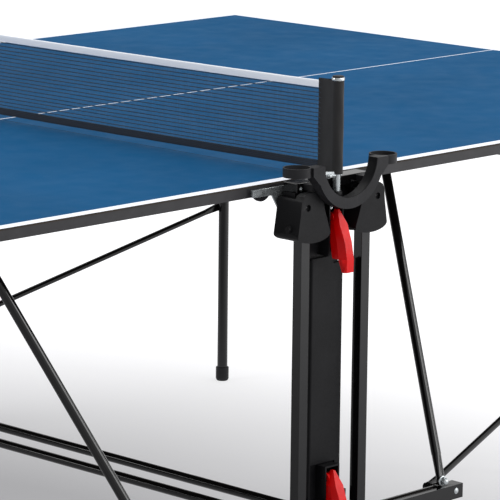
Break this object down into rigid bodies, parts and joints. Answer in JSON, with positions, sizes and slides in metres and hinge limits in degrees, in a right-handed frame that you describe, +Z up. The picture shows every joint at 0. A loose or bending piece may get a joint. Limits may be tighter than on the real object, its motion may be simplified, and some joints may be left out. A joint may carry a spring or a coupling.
{
  "type": "ping pong table",
  "caption": "Folding table tennis table with a netted blue top on a central undercarriage, fold-up halves, bat holders, levers and castors.",
  "frame": {"origin": "on the floor under the middle of the net", "axes": "+X along the table's length, +Y across it, +Z up"},
  "size_m": [2.74, 1.69, 0.9275],
  "materials": {
    "playing_top": "satin painted chipboard with white lines",
    "rim_steel": "satin black",
    "black_steel": "satin black powder coat",
    "black_plastic": "fine-grained moulded",
    "grey_plastic": "fine-grained moulded",
    "red_plastic": "semi-gloss moulded",
    "net_cloth": "knotless woven net",
    "sleeve_cloth": "coated cloth",
    "white_tape": "woven cotton tape",
    "zinc_steel": "zinc plated",
    "castor_rubber": "matt rubber tyre on a plastic hub"
  },
  "bodies": {
    "undercarriage": {"cross_tubes": "black_steel", "near_foot": "black_steel", "far_foot": "black_steel", "near_posts": "black_steel", "far_posts": "black_steel", "near_panel": "black_plastic", "far_panel": "black_plastic", "near_top_beam": "black_steel", "far_top_beam": "black_steel", "near_bat_holder": "grey_plastic", "far_bat_holder": "grey_plastic", "near_net_post": "zinc_steel", "far_net_post": "zinc_steel", "near_net_sleeve": "sleeve_cloth", "far_net_sleeve": "sleeve_cloth", "net_mesh": "net_cloth", "net_tape": "white_tape", "net_hem": "net_cloth"},
    "left_slider": {"left_near_hood": "black_plastic", "left_far_hood": "black_plastic"},
    "left_half": {"left_board": "playing_top", "left_rim": "rim_steel", "left_near_rail": "black_steel", "left_far_rail": "black_steel", "left_hinge_plates": "zinc_steel"},
    "left_legs": {"left_near_leg": "black_steel", "left_far_leg": "black_steel", "left_leg_brace": "black_steel", "left_leg_feet": "grey_plastic"},
    "left_arms": {"left_near_arm": "black_steel", "left_far_arm": "black_steel"},
    "left_rods": {"left_near_rod": "black_steel", "left_far_rod": "black_steel"},
    "right_slider": {"right_near_hood": "black_plastic", "right_far_hood": "black_plastic"},
    "right_half": {"right_board": "playing_top", "right_rim": "rim_steel", "right_near_rail": "black_steel", "right_far_rail": "black_steel", "right_hinge_plates": "zinc_steel"},
    "right_legs": {"right_near_leg": "black_steel", "right_far_leg": "black_steel", "right_leg_brace": "black_steel", "right_leg_feet": "grey_plastic"},
    "right_arms": {"right_near_arm": "black_steel", "right_far_arm": "black_steel"},
    "right_rods": {"right_near_rod": "black_steel", "right_far_rod": "black_steel"},
    "near_upper_lever": {"near_upper_lever": "red_plastic"},
    "near_lower_lever": {"near_lower_lever": "red_plastic"},
    "left_near_castor_swivel": {"left_near_castor_fork": "zinc_steel"},
    "left_near_castor_wheel": {"left_near_castor_wheel": "castor_rubber"},
    "right_near_castor_swivel": {"right_near_castor_fork": "zinc_steel"},
    "right_near_castor_wheel": {"right_near_castor_wheel": "castor_rubber"},
    "far_upper_lever": {"far_upper_lever": "red_plastic"},
    "far_lower_lever": {"far_lower_lever": "red_plastic"},
    "left_far_castor_swivel": {"left_far_castor_fork": "zinc_steel"},
    "left_far_castor_wheel": {"left_far_castor_wheel": "castor_rubber"},
    "right_far_castor_swivel": {"right_far_castor_fork": "zinc_steel"},
    "right_far_castor_wheel": {"right_far_castor_wheel": "castor_rubber"}
  },
  "joints": [
    {"name": "left_slide", "type": "slide", "parent": "undercarriage", "child": "left_slider", "axis": [0, 0, -1], "range_m": [0, 0.4523]},
    {"name": "left_fold", "type": "hinge", "parent": "left_slider", "child": "left_half", "pos_m": [-0.082, 0, 0.725], "axis": [0, 1, 0], "range_deg": [0, 90]},
    {"name": "left_leg_fold", "type": "hinge", "parent": "left_half", "child": "left_legs", "pos_m": [-1.133, 0, 0.728], "axis": [0, 1, 0], "range_deg": [-76.86, 0]},
    {"name": "left_arm_fold", "type": "hinge", "parent": "left_half", "child": "left_arms", "pos_m": [-0.5, 0, 0.732], "axis": [0, 1, 0], "range_deg": [-46.07, 0]},
    {"name": "left_rod_fold", "type": "hinge", "parent": "undercarriage", "child": "left_rods", "pos_m": [-0.352, 0, 0.164], "axis": [0, 1, 0], "range_deg": [0, 87.81]},
    {"name": "right_slide", "type": "slide", "parent": "undercarriage", "child": "right_slider", "axis": [0, 0, -1], "range_m": [0, 0.4523]},
    {"name": "right_fold", "type": "hinge", "parent": "right_slider", "child": "right_half", "pos_m": [0.082, 0, 0.725], "axis": [0, -1, 0], "range_deg": [0, 90]},
    {"name": "right_leg_fold", "type": "hinge", "parent": "right_half", "child": "right_legs", "pos_m": [1.133, 0, 0.728], "axis": [0, -1, 0], "range_deg": [-76.86, 0]},
    {"name": "right_arm_fold", "type": "hinge", "parent": "right_half", "child": "right_arms", "pos_m": [0.5, 0, 0.732], "axis": [0, -1, 0], "range_deg": [-46.07, 0]},
    {"name": "right_rod_fold", "type": "hinge", "parent": "undercarriage", "child": "right_rods", "pos_m": [0.352, 0, 0.164], "axis": [0, -1, 0], "range_deg": [0, 87.81]},
    {"name": "near_upper_lever_pull", "type": "hinge", "parent": "undercarriage", "child": "near_upper_lever", "pos_m": [0, -0.806, 0.698], "axis": [-1, 0, 0], "range_deg": [0, 30]},
    {"name": "near_lower_lever_pull", "type": "hinge", "parent": "undercarriage", "child": "near_lower_lever", "pos_m": [0, -0.806, 0.265], "axis": [-1, 0, 0], "range_deg": [0, 30]},
    {"name": "left_near_castor_turn", "type": "hinge", "parent": "undercarriage", "child": "left_near_castor_swivel", "pos_m": [-0.345, -0.756, 0.14], "axis": [0, 0, 1], "continuous": true},
    {"name": "left_near_castor_roll", "type": "hinge", "parent": "left_near_castor_swivel", "child": "left_near_castor_wheel", "pos_m": [-0.31, -0.756, 0.0625], "axis": [0, 1, 0], "continuous": true},
    {"name": "right_near_castor_turn", "type": "hinge", "parent": "undercarriage", "child": "right_near_castor_swivel", "pos_m": [0.345, -0.756, 0.14], "axis": [0, 0, 1], "continuous": true},
    {"name": "right_near_castor_roll", "type": "hinge", "parent": "right_near_castor_swivel", "child": "right_near_castor_wheel", "pos_m": [0.31, -0.756, 0.0625], "axis": [0, 1, 0], "continuous": true},
    {"name": "far_upper_lever_pull", "type": "hinge", "parent": "undercarriage", "child": "far_upper_lever", "pos_m": [0, 0.806, 0.698], "axis": [1, 0, 0], "range_deg": [0, 30]},
    {"name": "far_lower_lever_pull", "type": "hinge", "parent": "undercarriage", "child": "far_lower_lever", "pos_m": [0, 0.806, 0.265], "axis": [1, 0, 0], "range_deg": [0, 30]},
    {"name": "left_far_castor_turn", "type": "hinge", "parent": "undercarriage", "child": "left_far_castor_swivel", "pos_m": [-0.345, 0.756, 0.14], "axis": [0, 0, 1], "continuous": true},
    {"name": "left_far_castor_roll", "type": "hinge", "parent": "left_far_castor_swivel", "child": "left_far_castor_wheel", "pos_m": [-0.31, 0.756, 0.0625], "axis": [0, 1, 0], "continuous": true},
    {"name": "right_far_castor_turn", "type": "hinge", "parent": "undercarriage", "child": "right_far_castor_swivel", "pos_m": [0.345, 0.756, 0.14], "axis": [0, 0, 1], "continuous": true},
    {"name": "right_far_castor_roll", "type": "hinge", "parent": "right_far_castor_swivel", "child": "right_far_castor_wheel", "pos_m": [0.31, 0.756, 0.0625], "axis": [0, 1, 0], "continuous": true}
  ],
  "couplings": [
    {"joint": "left_slide", "follows": "left_fold", "m_per_rad": 0.28765},
    {"joint": "left_leg_fold", "follows": "left_fold", "ratio": -0.85287},
    {"joint": "left_arm_fold", "follows": "left_fold", "ratio": -0.5108},
    {"joint": "left_rod_fold", "follows": "left_fold", "ratio": 0.97459},
    {"joint": "right_slide", "follows": "right_fold", "m_per_rad": 0.28765},
    {"joint": "right_leg_fold", "follows": "right_fold", "ratio": -0.85287},
    {"joint": "right_arm_fold", "follows": "right_fold", "ratio": -0.5108},
    {"joint": "right_rod_fold", "follows": "right_fold", "ratio": 0.97459}
  ]
}
